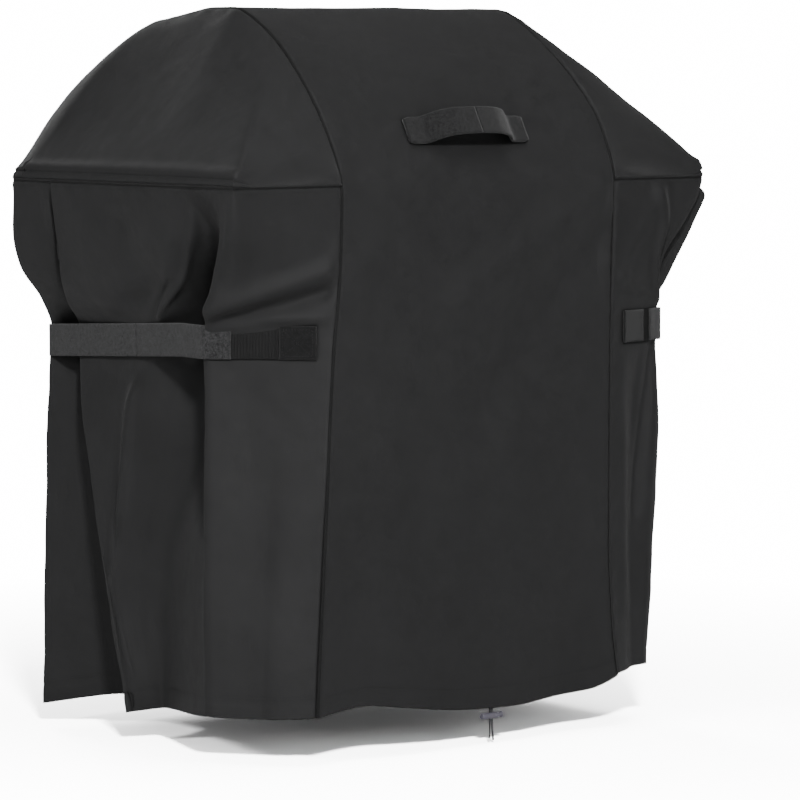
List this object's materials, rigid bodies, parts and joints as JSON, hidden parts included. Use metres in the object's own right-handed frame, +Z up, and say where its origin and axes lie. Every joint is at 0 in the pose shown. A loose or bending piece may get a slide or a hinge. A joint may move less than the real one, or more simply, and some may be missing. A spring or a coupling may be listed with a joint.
{
  "type": "grill cover",
  "caption": "Fitted cloth cover for a cart grill: arched hood strip, sloping ends over side shelves, gathered skirts with webbing straps, front handle and hem drawcord.",
  "frame": {"origin": "centre of the flat inner face of the hood top, where the cover rests on the grill's hood", "axes": "+Z up, front of the cover towards -Y, +X to the right as seen from the front"},
  "size_m": [0.92, 0.6141, 1.1112],
  "materials": {
    "cloth": "coated plain weave, matt",
    "seam": "lapped and top-stitched",
    "thread": "sewing thread",
    "grey_webbing": "heather grey loop webbing",
    "black_webbing": "ribbed webbing",
    "hook_tape": "hook tape in rows",
    "cord": "braided cord",
    "lock_plastic": "satin moulded",
    "spring_steel": "wire"
  },
  "bodies": {
    "cover": {"centre_panel": "cloth", "drawcord": "cord", "drawcord_tail_left": "cord", "drawcord_tail_right": "cord", "front_hem": "cloth", "handle_backing": "cloth", "handle_left_end": "cloth", "handle_left_stitching": "thread", "handle_right_end": "cloth", "handle_right_stitching": "thread", "left_anchor_stitching": "thread", "left_arc_seam": "seam", "left_end_gusset": "cloth", "left_hem": "cloth", "left_shelf_seam": "seam", "left_side_skirt": "cloth", "left_strap_anchor": "black_webbing", "left_strap_hook_pad": "hook_tape", "left_strap_rear_anchor": "grey_webbing", "rear_hem": "cloth", "right_anchor_stitching": "thread", "right_arc_seam": "seam", "right_end_gusset": "cloth", "right_hem": "cloth", "right_shelf_seam": "seam", "right_side_skirt": "cloth", "right_strap_anchor": "black_webbing", "right_strap_hook_pad": "hook_tape", "right_strap_rear_anchor": "grey_webbing"},
    "left_strap": {"left_strap_webbing": "grey_webbing"},
    "left_strap_end": {"left_strap_tongue": "grey_webbing"},
    "right_strap": {"right_strap_webbing": "grey_webbing"},
    "right_strap_end": {"right_strap_tongue": "grey_webbing"},
    "handle": {"handle_loop": "cloth"},
    "cord_lock": {"cord_lock_barrel": "lock_plastic", "cord_lock_spring": "spring_steel"},
    "lock_button": {"cord_lock_button": "lock_plastic"}
  },
  "joints": [
    {"name": "left_strap_swing", "type": "hinge", "parent": "cover", "child": "left_strap", "pos_m": [-0.3674, 0.2902, -0.511], "axis": [0, 0, -1], "range_deg": [0, 110]},
    {"name": "left_strap_peel", "type": "hinge", "parent": "left_strap", "child": "left_strap_end", "pos_m": [-0.4023, -0.0952, -0.489], "axis": [0, 0, -1], "range_deg": [0, 150]},
    {"name": "right_strap_swing", "type": "hinge", "parent": "cover", "child": "right_strap", "pos_m": [0.3674, 0.2902, -0.511], "axis": [0, 0, 1], "range_deg": [0, 110]},
    {"name": "right_strap_peel", "type": "hinge", "parent": "right_strap", "child": "right_strap_end", "pos_m": [0.4033, -0.2039, -0.489], "axis": [0, 0, 1], "range_deg": [0, 150]},
    {"name": "handle_lift", "type": "hinge", "parent": "cover", "child": "handle", "pos_m": [0, -0.2772, -0.1786], "axis": [-1, 0, 0], "range_deg": [-20, 25]},
    {"name": "cord_lock_slide", "type": "slide", "parent": "cover", "child": "cord_lock", "axis": [0, 0, -1], "range_m": [-0.006, 0.012]},
    {"name": "lock_button_press", "type": "slide", "parent": "cord_lock", "child": "lock_button", "axis": [-1, 0, 0], "range_m": [0, 0.004], "stiffness_N_per_m": 300, "springref_m": -0.003, "deforming": ["cord_lock_spring"]}
  ]
}
